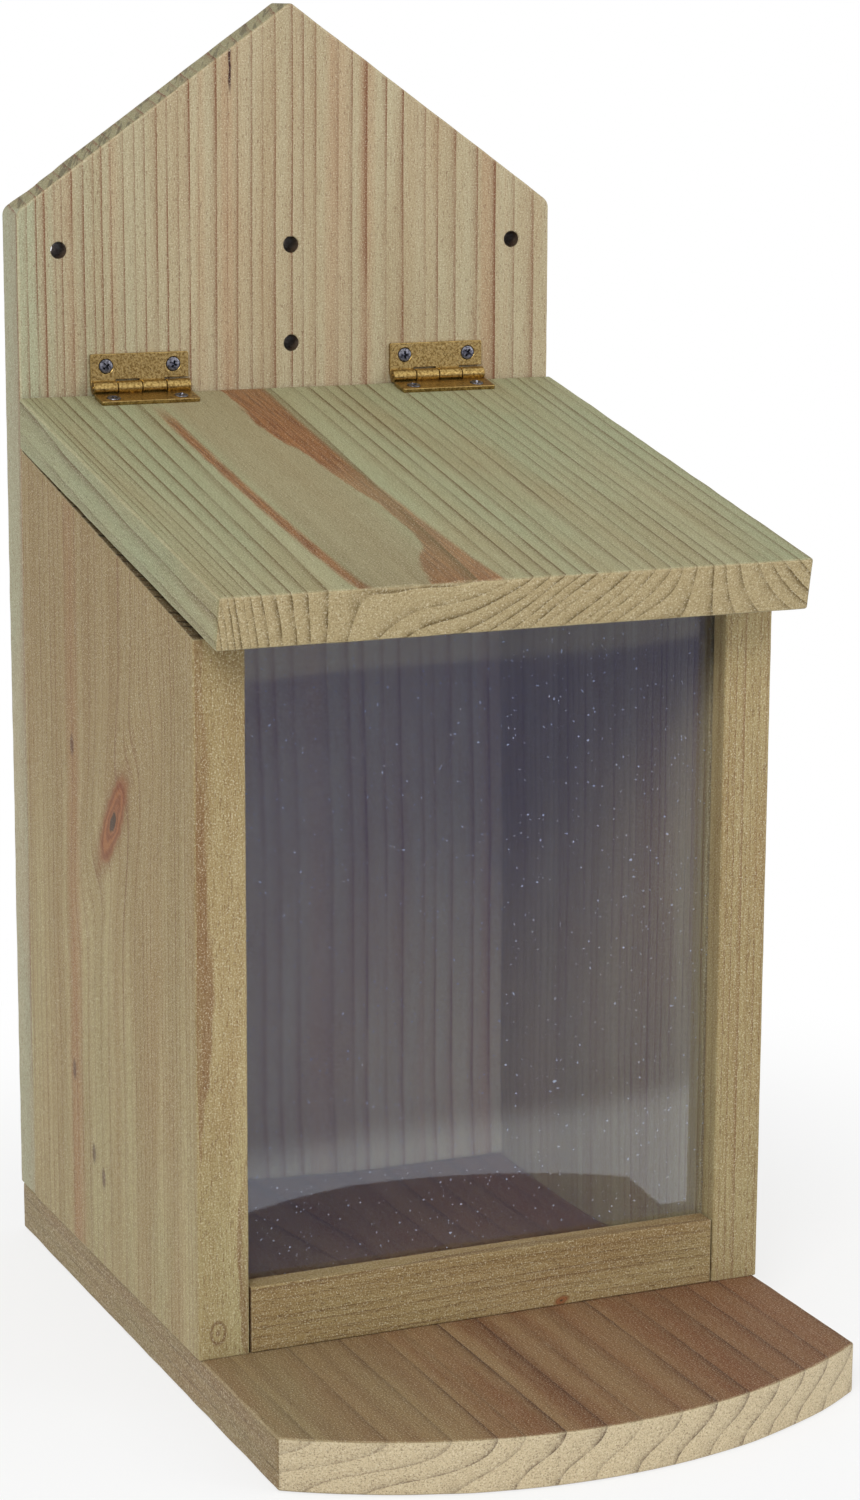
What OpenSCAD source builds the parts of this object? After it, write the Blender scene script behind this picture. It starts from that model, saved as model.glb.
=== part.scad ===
// Garden feeder box: a gabled back board carries a box with a clear front, a curved
// feeding lip and a sloping lid on two small hinges. All lengths are in millimetres.

/* [Box] */
// Outside width of the box and of the back board
body_w = 140; // [112:1:180]
// Depth of the box, from the back board to the front edges of the sides
body_d = 120.5; // [95:0.5:160]
// Height of the sides where they meet the back board
side_back_h = 188.4; // [150:0.1:240]
// Thickness of each side
side_t = 12; // [9:0.5:16]

/* [Back board] */
// Thickness of the back board
back_t = 12; // [9:0.5:18]
// Height of the shoulders where the gable starts, above the base
shoulder_h = 245.2; // [225:0.1:300]
// Slope of the gable in degrees
gable_slope = 35; // [20:1:50]

/* [Base] */
// Thickness of the base
base_t = 12; // [9:0.5:18]
// How far each long edge of the base lies inside the sides of the box
base_step = 0.5; // [0:0.1:2]
// How far the corners of the feeding lip stand in front of the box
lip_reach = 46.3; // [30:0.1:70]
// How far the curved front edge bows out beyond those corners
lip_bulge = 21.5; // [10:0.5:30]

/* [Front] */
// Height of the rail below the window
rail_h = 15.5; // [10:0.5:30]
// Distance from the front edges of the sides back to the window
pane_setback = 6; // [4:0.5:10]
// Thickness of the window pane
pane_t = 2; // [1.5:0.1:4]
// Depth of the grooves that hold the pane
groove_depth = 4; // [2:0.5:6]

/* [Lid] */
// Thickness of the lid
lid_t = 12; // [9:0.5:18]
// How far the lid stands out past each side of the box
lid_side_overhang = 0.5; // [0:0.1:10]
// How far the lid stands out in front of the sides
lid_front_overhang = 17.4; // [5:0.1:40]
// Slope of the lid in degrees
lid_slope = 11.2; // [5:0.1:25]
// How many degrees steeper the tops of the sides fall than the lid
side_top_fall = 1.1; // [0.5:0.1:3]

/* [Hinges] */
// Length of each hinge along its pin
hinge_w = 25; // [20:1:35]
// Distance from the pin to the free edge of a leaf
leaf_h = 8.1; // [7:0.1:12]
// Thickness of the leaves
leaf_t = 1; // [0.8:0.1:1.2]
// Outside diameter of the knuckles
knuckle_d = 3.2; // [3:0.1:4]
// Number of knuckles, shared between the two leaves
knuckles = 4; // [2:2:6]
// Diameter of the hinge pins
pin_d = 1.5; // [1:0.1:1.8]
// Distance from the left edge of the back board to the left hinge
hinge_inset_left = 17.6; // [5:0.1:25]
// Distance from the right edge of the back board to the right hinge
hinge_inset_right = 18.9; // [5:0.1:25]
// Distance between the two screws of a leaf
hinge_screw_spacing = 17.2; // [12:0.1:18]
// Distance from the pin to the screws of a leaf
hinge_screw_h = 5.1; // [4:0.1:6]

/* [Fixing holes] */
// Diameter of the four holes for hanging the box
hole_d = 4; // [3:0.1:6]
// Distance from the edges of the back board to the outer holes
hole_inset = 10.4; // [8:0.1:16]
// Distance from the shoulders down to the upper holes
hole_drop = 9.4; // [8:0.1:16]
// Distance between the two centre holes
centre_hole_spacing = 24.1; // [15:0.1:30]

/* [Fasteners] */
// Diameter of the wood screws that join the boards
screw_d = 3.5; // [2.5:0.1:4]
// Diameter of their heads
screw_head_d = 6.6; // [5:0.1:8]
// How far they reach into the second board
screw_bite = 18; // [12:1:25]
// Distance from the ends of a joint to its first and last screw
screw_inset = 26; // [20:1:34]
// Diameter of the hinge screws
hinge_screw_d = 1.9; // [1.5:0.1:2.2]
// Diameter of the heads of the hinge screws
hinge_screw_head_d = 3.4; // [3:0.1:4]
// Diameter of the nails that hold the rail
nail_d = 1.4; // [1:0.1:2]

/* [Clearances] */
// Gap between the pane and each face beside it
pane_gap = 0.2; // [0.1:0.05:0.5]
// Gap between each edge of the pane and the bottom of its groove
pane_side_gap = 0.5; // [0.2:0.1:1]
// Gap between the top of the pane and the lid
pane_top_gap = 0.3; // [0.2:0.1:1]
// Gap between each end of the rail and the side beside it
rail_end_gap = 0.4; // [0.1:0.1:1]
// Gap between the lid and the back board
lid_back_gap = 0.6; // [0.3:0.1:1]
// Gap between the lid and the highest point of the sides
lid_rest_gap = 0.5; // [0.3:0.1:1]
// Gap between a knuckle and the face of the board beside it
knuckle_rise = 0.3; // [0.2:0.05:0.5]
// Gap between a leaf and the board that it is screwed to
leaf_gap = 0.02; // [0.01:0.01:0.1]
// Gap between neighbouring knuckles
knuckle_gap = 0.2; // [0.1:0.05:0.4]
// Gap all round a hinge pin
pin_gap = 0.05; // [0.02:0.01:0.08]
// Gap all round a screw or nail
thread_gap = 0.05; // [0.02:0.01:0.1]

/* [Hidden] */
SIDES = ["left", "right"];
LEAVES = ["board", "lid"];
HINGE_SCREWS = ["outer", "inner"];
LEVELS = ["low", "middle", "high"];
DEPTHS = ["rear", "front"];

// Colours
green_pine = [0.60, 0.58, 0.41];
tan_pine = [0.66, 0.58, 0.40];
brown_pine = [0.50, 0.38, 0.26];
clear_blue = [0.62, 0.70, 0.78, 0.35];
aged_brass = [0.45, 0.36, 0.20];
dark_steel = [0.20, 0.20, 0.22];
zinc_steel = [0.62, 0.62, 0.58];

cut = 1; // how far a cutting shape runs past the face it cuts
round_fn = 48; // smoothness of bores, pins and heads
board_front_y = (body_d + lip_reach + lip_bulge - back_t) / 2;
inner_w = body_w - 2 * side_t;
base_w = body_w - 2 * base_step;
lid_w = body_w + 2 * lid_side_overhang;
lid_l = (body_d + lid_front_overhang - lid_back_gap) / cos(lid_slope); // measured down the slope
side_mid_x = (body_w - side_t) / 2;
side_front_h = side_back_h - body_d * tan(lid_slope + side_top_fall);
gable_h = body_w / 2 * tan(gable_slope);

lip_corner_y = -body_d - lip_reach;
lip_radius = (pow(base_w / 2, 2) + pow(lip_bulge, 2)) / (2 * lip_bulge);

pane_front_y = -body_d + pane_setback;
groove_w = pane_t + 2 * pane_gap;
rail_t = pane_setback - pane_gap;
pane_h = lid_under(pane_front_y) - pane_top_gap;

pin_off = knuckle_d / 2 + knuckle_rise; // from the pin to the face of each board
leaf_face = pin_off - leaf_gap - leaf_t; // from the pin to the outer face of each leaf
pin_z = lid_top(-pin_off) + pin_off / cos(lid_slope);
knuckle_w = hinge_w / knuckles;
plate_start = knuckle_d / 2 + knuckle_rise;
hinge_x = [-body_w / 2 + hinge_inset_left, body_w / 2 - hinge_inset_right - hinge_w];
outward = [-1, 1]; // direction of the left and the right, along X
leaf_board_t = [back_t, lid_t]; // thickness of the board under each leaf

hinge_screw_cover = 3; // wood left under the tip of a hinge screw
hinge_head_rise = 0.3; // how far the heads of the hinge screws stand proud
recess_w = 0.5; // width of the cross in a hinge screw
head_sink = 0.2; // how far the heads of screws and nails lie below the surface
nail_head_d = 2.4;
nail_head_t = 0.8;
nail_cover = 5; // wood left over the tip of a nail
back_screw_step = (side_back_h - 2 * screw_inset) / (len(LEVELS) - 1);
base_screw_y = [-screw_inset, -body_d + screw_inset];
quarter_x = body_w / 4;

// Height of the lid's underside and of its top, at a distance y behind the board's face
function lid_under(y) = side_back_h + lid_rest_gap + y * tan(lid_slope);
function lid_top(y) = lid_under(y) + lid_t / cos(lid_slope);

// Places. Within at_box, the back board's face is at Y = 0 and the base's top at Z = 0.
module at_box() translate([0, board_front_y, base_t]) children();
module on_pin(i) translate([hinge_x[i], -pin_off, pin_z]) children();
module on_leaf(i, leaf) {
    if (leaf == 0) on_pin(i) children();
    if (leaf == 1) on_pin(i) rotate([90 + lid_slope, 0, 0]) mirror([0, 1, 0]) children();
}
// Screw n of a leaf: the outer one is nearer the edge of the board on that side
module on_leaf_screw(i, leaf, n)
    on_leaf(i, leaf)
        translate([
            hinge_w / 2 + outward[i] * (1 - 2 * n) * hinge_screw_spacing / 2,
            leaf_face,
            hinge_screw_h
        ])
            rotate([90, 0, 0]) children();
module on_back_screw(i, level)
    translate([outward[i] * side_mid_x, back_t, screw_inset + level * back_screw_step])
        rotate([-90, 0, 0]) children();
module on_underside(x, y) translate([x, y, -base_t]) rotate([180, 0, 0]) children();
module on_base_screw(i, depth) on_underside(outward[i] * side_mid_x, base_screw_y[depth]) children();
module on_board_foot(i) on_underside(outward[i] * quarter_x, back_t / 2) children();
module on_rail_nail(i) on_underside(outward[i] * quarter_x, -body_d + rail_t / 2) children();

// Solids drawn from an outline: one upright across X, one upright along Y
module upright_across(thickness)
    translate([0, thickness, 0]) rotate([90, 0, 0]) linear_extrude(thickness) children();
module upright_along(thickness) rotate([90, 0, 90]) linear_extrude(thickness) children();

// A countersunk screw or the hole for one: its head's face is at Z = 0 and it runs down
module screw_form(d, head_d, length, gap = 0) {
    head_h = (head_d - d) / 2;
    shank_d = d + 2 * gap;
    translate([0, 0, -head_h]) cylinder(d1 = shank_d, d2 = head_d + 2 * gap, h = head_h, $fn = round_fn);
    translate([0, 0, -length + d - gap]) cylinder(d = shank_d, h = length - d + gap, $fn = round_fn);
    translate([0, 0, -length - gap]) cylinder(d1 = d / 4, d2 = shank_d, h = d, $fn = round_fn);
}
module cross_recess(size, depth)
    translate([0, 0, -depth])
        for (turn = [0, 90]) rotate([0, 0, turn])
            translate([-size / 2, -recess_w / 2, 0]) cube([size, recess_w, depth + cut]);

module wood_screw(through) difference() {
    translate([0, 0, -head_sink]) screw_form(screw_d, screw_head_d, through + screw_bite - head_sink);
    translate([0, 0, -head_sink]) cross_recess(screw_head_d / 2, screw_d / 3);
}
module wood_screw_hole(through) {
    translate([0, 0, -head_sink])
        screw_form(screw_d, screw_head_d, through + screw_bite - head_sink, thread_gap);
    translate([0, 0, -head_sink - thread_gap])
        cylinder(d = screw_head_d + 2 * thread_gap, h = head_sink + cut, $fn = round_fn);
}

module hinge_screw_form(leaf, gap = 0)
    screw_form(hinge_screw_d, hinge_screw_head_d, leaf_t + leaf_board_t[leaf] - hinge_screw_cover, gap);
module hinge_screw_hole(leaf) hinge_screw_form(leaf, thread_gap);

module nail_form(gap = 0) {
    length = base_t + rail_h - nail_cover;
    shank_d = nail_d + 2 * gap;
    translate([0, 0, -head_sink - nail_head_t - gap])
        cylinder(d = nail_head_d + 2 * gap, h = nail_head_t + gap, $fn = round_fn);
    translate([0, 0, -length + nail_d - gap]) cylinder(d = shank_d, h = length - nail_d, $fn = round_fn);
    translate([0, 0, -length - gap]) cylinder(d1 = nail_d / 4, d2 = shank_d, h = nail_d, $fn = round_fn);
}
module nail_hole() {
    nail_form(thread_gap);
    translate([0, 0, -head_sink - cut / 2])
        cylinder(d = nail_head_d + 2 * thread_gap, h = head_sink + cut, $fn = round_fn);
}

// Boards
module back_board() color(green_pine) at_box() difference() {
    upright_across(back_t) polygon([
        [-body_w / 2, 0],
        [body_w / 2, 0],
        [body_w / 2, shoulder_h],
        [0, shoulder_h + gable_h],
        [-body_w / 2, shoulder_h]
    ]);
    for (side = outward) fixing_hole(side * (body_w / 2 - hole_inset), shoulder_h - hole_drop);
    for (k = [0, 1]) fixing_hole(0, shoulder_h - hole_drop - k * centre_hole_spacing);
    for (i = [0, 1], level = [0:2]) on_back_screw(i, level) wood_screw_hole(back_t);
    for (i = [0, 1], n = [0, 1]) on_leaf_screw(i, 0, n) hinge_screw_hole(0);
    for (i = [0, 1]) on_board_foot(i) wood_screw_hole(base_t);
}
module fixing_hole(x, z)
    translate([x, -cut, z]) rotate([-90, 0, 0]) cylinder(d = hole_d, h = back_t + 2 * cut, $fn = round_fn);

module side_panel(i) color(tan_pine) at_box() difference() {
    translate([outward[i] * side_mid_x - side_t / 2, 0, 0]) upright_along(side_t) polygon([
        [-body_d, 0],
        [0, 0],
        [0, side_back_h],
        [-body_d, side_front_h]
    ]);
    translate([-inner_w / 2 - groove_depth, pane_front_y - pane_gap, -cut])
        cube([inner_w + 2 * groove_depth, groove_w, side_back_h]);
    for (level = [0:2]) on_back_screw(i, level) wood_screw_hole(back_t);
    for (depth = [0, 1]) on_base_screw(i, depth) wood_screw_hole(base_t);
}

module base_board() color(brown_pine) at_box() difference() {
    translate([0, 0, -base_t]) linear_extrude(base_t) {
        translate([-base_w / 2, lip_corner_y]) square([base_w, back_t - lip_corner_y]);
        intersection() {
            translate([0, lip_corner_y - lip_bulge + lip_radius]) circle(lip_radius, $fn = 4 * round_fn);
            translate([-base_w / 2, lip_corner_y - lip_bulge]) square([base_w, 2 * lip_bulge]);
        }
    }
    for (i = [0, 1], depth = [0, 1]) on_base_screw(i, depth) wood_screw_hole(base_t);
    for (i = [0, 1]) {
        on_board_foot(i) wood_screw_hole(base_t);
        on_rail_nail(i) nail_hole();
    }
}

module front_rail() color(tan_pine) at_box() difference() {
    rail_w = inner_w - 2 * rail_end_gap;
    translate([-rail_w / 2, -body_d, 0]) cube([rail_w, rail_t, rail_h]);
    for (i = [0, 1]) on_rail_nail(i) nail_hole();
}

module window_pane() color(clear_blue) at_box() {
    pane_w = inner_w + 2 * (groove_depth - pane_side_gap);
    translate([-pane_w / 2, pane_front_y, 0]) cube([pane_w, pane_t, pane_h]);
}

module lid() color(green_pine) at_box() difference() {
    back_top = [-lid_back_gap, lid_top(-lid_back_gap)];
    front_top = back_top - lid_l * [cos(lid_slope), sin(lid_slope)];
    translate([-lid_w / 2, 0, 0]) upright_along(lid_w) polygon([
        [-lid_back_gap, lid_under(-lid_back_gap)],
        back_top,
        front_top,
        front_top + lid_t * [sin(lid_slope), -cos(lid_slope)]
    ]);
    for (i = [0, 1], n = [0, 1]) on_leaf_screw(i, 1, n) hinge_screw_hole(1);
}

// Hinges: leaf 0 is on the back board and has the first knuckle, leaf 1 is on the lid
module hinge_leaf(i, leaf) color(aged_brass) at_box() difference() {
    on_leaf(i, leaf) {
        translate([0, leaf_face, plate_start]) cube([hinge_w, leaf_t, leaf_h - plate_start]);
        for (k = [leaf:2:knuckles - 1]) translate([k * knuckle_w + knuckle_gap / 2, 0, 0]) {
            translate([0, leaf_face, 0]) cube([knuckle_w - knuckle_gap, leaf_t, plate_start]);
            rotate([0, 90, 0]) cylinder(d = knuckle_d, h = knuckle_w - knuckle_gap, $fn = round_fn);
        }
    }
    on_pin(i) translate([-cut, 0, 0]) rotate([0, 90, 0])
        cylinder(d = pin_d + 2 * pin_gap, h = hinge_w + 2 * cut, $fn = round_fn);
    for (n = [0, 1]) on_leaf_screw(i, leaf, n) hinge_screw_hole(leaf);
}
module hinge_pin(i) color(aged_brass) at_box() on_pin(i)
    rotate([0, 90, 0]) cylinder(d = pin_d, h = hinge_w, $fn = round_fn);
module hinge_screw(i, leaf, n) color(dark_steel) at_box() on_leaf_screw(i, leaf, n) difference() {
    union() {
        hinge_screw_form(leaf);
        cylinder(d = hinge_screw_head_d, h = hinge_head_rise, $fn = round_fn);
    }
    cross_recess(hinge_screw_head_d * 0.7, hinge_head_rise);
}

// Fasteners through the boards
module back_screw(i, level) color(zinc_steel) at_box() on_back_screw(i, level) wood_screw(back_t);
module base_screw(i, depth) color(zinc_steel) at_box() on_base_screw(i, depth) wood_screw(base_t);
module board_foot_screw(i) color(zinc_steel) at_box() on_board_foot(i) wood_screw(base_t);
module rail_nail(i) color(zinc_steel) at_box() on_rail_nail(i) nail_form();

back_board();
for (i = [0, 1]) side_panel(i);
base_board();
front_rail();
window_pane();
lid();
for (i = [0, 1], leaf = [0, 1])
    hinge_leaf(i, leaf);
for (i = [0, 1]) hinge_pin(i);
for (i = [0, 1], leaf = [0, 1], n = [0, 1])
    hinge_screw(i, leaf, n);
for (i = [0, 1], level = [0:2])
    back_screw(i, level);
for (i = [0, 1], depth = [0, 1])
    base_screw(i, depth);
for (i = [0, 1]) board_foot_screw(i);
for (i = [0, 1]) rail_nail(i);
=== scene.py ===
"""The looks of the feeder box: timber boards, a clear pane, two brass hinges and their screws."""

import math

import bmesh
import bpy
from mathutils import Matrix, Vector, noise


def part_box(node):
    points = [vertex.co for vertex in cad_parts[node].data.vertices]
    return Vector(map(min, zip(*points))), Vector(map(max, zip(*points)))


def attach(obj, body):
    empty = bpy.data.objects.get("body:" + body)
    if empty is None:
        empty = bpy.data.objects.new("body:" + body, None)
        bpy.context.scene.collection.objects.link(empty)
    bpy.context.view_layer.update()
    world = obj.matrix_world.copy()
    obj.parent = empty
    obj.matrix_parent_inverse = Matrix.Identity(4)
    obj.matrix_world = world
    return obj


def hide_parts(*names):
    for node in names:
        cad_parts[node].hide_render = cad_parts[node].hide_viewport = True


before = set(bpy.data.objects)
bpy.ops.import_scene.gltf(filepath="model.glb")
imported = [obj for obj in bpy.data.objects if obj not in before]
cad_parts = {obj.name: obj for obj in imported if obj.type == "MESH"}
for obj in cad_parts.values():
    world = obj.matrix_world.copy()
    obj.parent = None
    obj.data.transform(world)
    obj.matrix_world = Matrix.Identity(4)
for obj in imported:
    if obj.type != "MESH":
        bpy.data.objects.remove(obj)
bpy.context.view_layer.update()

MM = 0.001

# ---------------------------------------------------------------- camera

CAMERA_AZIMUTH = math.radians(-23.68)
CAMERA_ELEVATION = math.radians(12.0)
CAMERA_ROLL = math.radians(0.27)
CAMERA_AIM = Vector((0.0120, 0.0292, 0.1316))
CAMERA_DISTANCE = 0.850
CAMERA_LENS = 85.46  # for a frame 36 mm high


def add_camera():
    """The photograph's viewing angle."""
    flat = math.cos(CAMERA_ELEVATION)
    back = Vector((
        math.sin(CAMERA_AZIMUTH) * flat,
        -math.cos(CAMERA_AZIMUTH) * flat,
        math.sin(CAMERA_ELEVATION),
    ))
    data = bpy.data.cameras.new("camera")
    data.sensor_fit = "VERTICAL"
    data.sensor_height = 36
    data.lens = CAMERA_LENS
    data.clip_start = 0.01
    camera = bpy.data.objects.new("camera", data)
    camera.location = CAMERA_AIM + back * CAMERA_DISTANCE
    turn = back.to_track_quat("Z", "Y").to_matrix()
    camera.rotation_euler = (turn @ Matrix.Rotation(CAMERA_ROLL, 3, "Z")).to_euler()
    bpy.context.scene.collection.objects.link(camera)
    bpy.context.scene.camera = camera


# ---------------------------------------------------------------- places read from the frame


def edge_height(node, axis, value):
    """The highest point of a CAD node among those whose coordinate on an axis is value."""
    near = [v.co.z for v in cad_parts[node].data.vertices if abs(v.co[axis] - value) < 0.05 * MM]
    return max(near)


back_low, back_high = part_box("back_board")
left_low, left_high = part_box("side_panel_left")
right_low, right_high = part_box("side_panel_right")
base_low, base_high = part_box("base_board")
rail_low, rail_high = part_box("front_rail")
pane_low, pane_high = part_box("window_pane")
lid_low, lid_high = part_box("lid")

half_w = back_high.x
board_face = back_low.y
floor_z = base_high.z
shoulder_z = edge_height("back_board", 0, back_low.x)
side_front_z = edge_height("side_panel_left", 1, left_low.y)
lid_front_z = edge_height("lid", 1, lid_low.y)
lid_slope = math.atan2(lid_high.z - lid_front_z, lid_high.y - lid_low.y)
lid_down = Vector((0, -math.cos(lid_slope), -math.sin(lid_slope)))
lid_normal = Vector((0, -math.sin(lid_slope), math.cos(lid_slope)))
lid_length = (lid_high.y - lid_low.y) / math.cos(lid_slope)
lid_thickness = (lid_front_z - lid_low.z) / math.cos(lid_slope)
lid_back_top = Vector((0, lid_high.y, lid_high.z))
pin_low, pin_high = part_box("hinge_left_pin")
pin_centre = (pin_low + pin_high) / 2

# ---------------------------------------------------------------- meshes

CORNER_STEPS = 5
ARRIS_STEPS = 4


def rough(point, size, seed=0):
    """Smooth noise from 0 to 1 with lumps of about that size."""
    return 0.5 + 0.5 * noise.noise(point / size + Vector((seed * 7.3, seed * 3.1, seed * 5.7)))


def rounded_outline(points, radius, step):
    """A closed outline through (u, v) points: corners rounded, long edges divided.
    A third number on a point is that corner's own radius."""
    loop = []
    for i, point in enumerate(points):
        corner = Vector(point[:2])
        to_last = (Vector(points[i - 1][:2]) - corner).normalized()
        to_next = (Vector(points[(i + 1) % len(points)][:2]) - corner).normalized()
        angle = to_last.angle(to_next)
        if angle > math.radians(170):
            loop.append(corner)
            continue
        r = point[2] if len(point) > 2 else radius
        centre = corner + (to_last + to_next).normalized() * r / math.sin(angle / 2)
        start = corner + to_last * r / math.tan(angle / 2) - centre
        end = corner + to_next * r / math.tan(angle / 2) - centre
        sweep = start.angle_signed(end)
        for k in range(CORNER_STEPS + 1):
            loop.append(centre + Matrix.Rotation(-sweep * k / CORNER_STEPS, 2) @ start)
    dense = []
    for i, here in enumerate(loop):
        there = loop[(i + 1) % len(loop)]
        parts = max(1, math.ceil((there - here).length / step))
        dense += [here.lerp(there, k / parts) for k in range(parts)]
    return dense


def inward_normals(loop):
    """For each point of an outline drawn anticlockwise, the direction into the material."""
    normals = []
    for i in range(len(loop)):
        run = loop[(i + 1) % len(loop)] - loop[i - 1]
        normals.append(Vector((-run.y, run.x)).normalized())
    return normals


def bridge(bm, ring_a, ring_b):
    """A closed band of faces between two rings of equal length."""
    n = len(ring_a)
    for i in range(n):
        bm.faces.new((ring_a[i], ring_a[(i + 1) % n], ring_b[(i + 1) % n], ring_b[i]))


def ring_edges(bm, ring):
    """The edges that already join a ring's vertices in turn."""
    n = len(ring)
    return [bm.edges.get((ring[i], ring[(i + 1) % n])) for i in range(n)]


def finish_mesh(bm, name, flat_faces=(), **marked):
    """Turns a bmesh into an object with outward faces, smooth but for flat_faces.
    Each further argument is an attribute's name and the vertices where it is 1."""
    bmesh.ops.recalc_face_normals(bm, faces=bm.faces)
    for face in bm.faces:
        face.smooth = True
    for face in flat_faces:
        if face.is_valid:
            face.smooth = False
    bm.verts.index_update()
    marked = {key: [vert.index for vert in verts] for key, verts in marked.items() if verts}
    mesh = bpy.data.meshes.new(name)
    bm.to_mesh(mesh)
    bm.free()
    for key, indexes in marked.items():
        marks = mesh.attributes.new(key, "FLOAT", "POINT")
        for index in indexes:
            marks.data[index].value = 1
    piece = bpy.data.objects.new(name, mesh)
    bpy.context.scene.collection.objects.link(piece)
    return piece


def slab(name, points, depth, place, arris=0.6 * MM, corner=0.8 * MM, wave=0.08 * MM, step=2 * MM,
         level_step=3 * MM, holes=(), chips=(), seed=0):
    """A board: an outline in (u, v) given thickness along w, with softened and slightly uneven edges.
    place turns (u, v, w) into a point. A hole is (u, v, radius, side, depth), where side is "through",
    "low" or "high". A chip is (u, v, w, size, extra), which eats extra into the edges near it."""
    loop = rounded_outline(points, corner, step)
    inward = inward_normals(loop)
    bm = bmesh.new()
    rings, worn, bored, flat = [], [], [], []

    def arris_at(here, w):
        spot = Vector((here.x, here.y, w))
        size = arris * (0.6 + 0.8 * rough(spot, 9 * MM, seed))
        for u, v, chip_w, reach, extra in chips:
            far = (spot - Vector((u, v, chip_w))).length / reach
            if far < 1:
                size += extra * (1 - far * far) * (0.6 + 0.8 * rough(spot, 1.5 * MM, seed))
        return min(size, depth * 0.4)

    def add_ring(heights, insets, w=0):
        made = []
        for here, inner, height, inset in zip(loop, inward, heights, insets):
            waviness = wave * rough(Vector((here.x, here.y, w)), 6 * MM, seed + 1)
            spot = here + inner * (inset + waviness)
            made.append(bm.verts.new(place(spot.x, spot.y, height)))
        rings.append(made)

    def add_arris(sizes, face, way, steps):
        for k in steps:
            turn = math.pi / 2 * k / ARRIS_STEPS
            heights = [face + way * r * (1 - math.cos(turn)) for r in sizes]
            add_ring(heights, [r * (1 - math.sin(turn)) for r in sizes])
            if 0 < k < ARRIS_STEPS:
                worn.extend(rings[-1])

    low = [arris_at(here, 0) for here in loop]
    high = [arris_at(here, depth) for here in loop]
    add_arris(low, 0, 1, range(ARRIS_STEPS + 1))
    levels = max(2, math.ceil(depth / level_step))
    for k in range(1, levels):
        w = depth * k / levels
        heights = [min(max(w, lo * 1.05), depth - hi * 1.05) for lo, hi in zip(low, high)]
        add_ring(heights, [0] * len(loop), w)
    add_arris(high, depth, -1, range(ARRIS_STEPS, -1, -1))
    for ring_a, ring_b in zip(rings, rings[1:]):
        bridge(bm, ring_a, ring_b)

    caps = {"low": ring_edges(bm, rings[0]), "high": ring_edges(bm, rings[-1])}
    # The vertices inside each hole are marked, and timber paints shade onto them.
    for number, (u, v, radius, side, hole_depth) in enumerate(holes):
        bored += bore(bm, caps, place, (u, v), radius, side, hole_depth, depth, seed + number)
    for edges in caps.values():
        filled = bmesh.ops.triangle_fill(bm, use_beauty=True, edges=edges)["geom"]
        flat += [part for part in filled if isinstance(part, bmesh.types.BMFace)]
    return finish_mesh(bm, name, flat, worn=worn, bored=bored)


def bore(bm, caps, place, centre, radius, side, hole_depth, depth, seed):
    """Adds a drilled hole with a slightly torn rim to a slab, and its rims to the caps' edges.
    Gives back the vertices inside it."""
    points = 28

    def ring(w, r, tear):
        verts = []
        for k in range(points):
            turn = 2 * math.pi * k / points
            spot = Vector((math.cos(turn), math.sin(turn)))
            torn = 1 + tear * (rough(Vector((spot.x, spot.y, seed)), 0.35) - 0.5)
            u, v = centre[0] + spot.x * r * torn, centre[1] + spot.y * r * torn
            verts.append(bm.verts.new(place(u, v, w)))
        return verts

    def rim(verts):
        return [bm.edges.new((verts[k], verts[(k + 1) % points])) for k in range(points)]

    lip = radius * 0.12
    if side == "through":
        rings = [ring(0, radius + lip, 0.3), ring(lip, radius, 0.06), ring(2 * lip, radius, 0.04),
                 ring(depth / 2, radius, 0.03), ring(depth - 2 * lip, radius, 0.04),
                 ring(depth - lip, radius, 0.06), ring(depth, radius + lip, 0.3)]
        caps["low"] += rim(rings[0])
        caps["high"] += rim(rings[-1])
    else:
        face, down = (0, 1) if side == "low" else (depth, -1)
        rings = [ring(face, radius + lip, 0.06), ring(face + down * lip, radius, 0.03),
                 ring(face + down * hole_depth, radius, 0.03)]
        caps[side] += rim(rings[0])
        bm.faces.new(rings[-1])
    for ring_a, ring_b in zip(rings, rings[1:]):
        bridge(bm, ring_a, ring_b)
    return sum(rings[2:-2] if side == "through" else rings[2:], [])


def lathe(bm, profile, place, segments=32):
    """A solid of revolution about local z from (radius, height) points; a radius of 0 closes an end."""
    rings = []
    for r, z in profile:
        if r == 0:
            rings.append([bm.verts.new(place(Vector((0, 0, z))))])
            continue
        turns = [2 * math.pi * k / segments for k in range(segments)]
        rings.append([bm.verts.new(place(Vector((r * math.cos(t), r * math.sin(t), z)))) for t in turns])
    for a, b in zip(rings, rings[1:]):
        if len(a) == 1 or len(b) == 1:
            tip, ring = (a[0], b) if len(a) == 1 else (b[0], a)
            for k in range(segments):
                bm.faces.new((tip, ring[k], ring[(k + 1) % segments]))
        else:
            bridge(bm, a, b)


# ---------------------------------------------------------------- materials


def srgb(*levels):
    """A colour from levels of 0 to 255 as a screen shows them."""
    linear = [(c / 255 + 0.055) / 1.055 for c in levels]
    return tuple(c ** 2.4 if c > 0.0904 else c * 1.055 / 12.92 for c in linear) + (1,)


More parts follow.
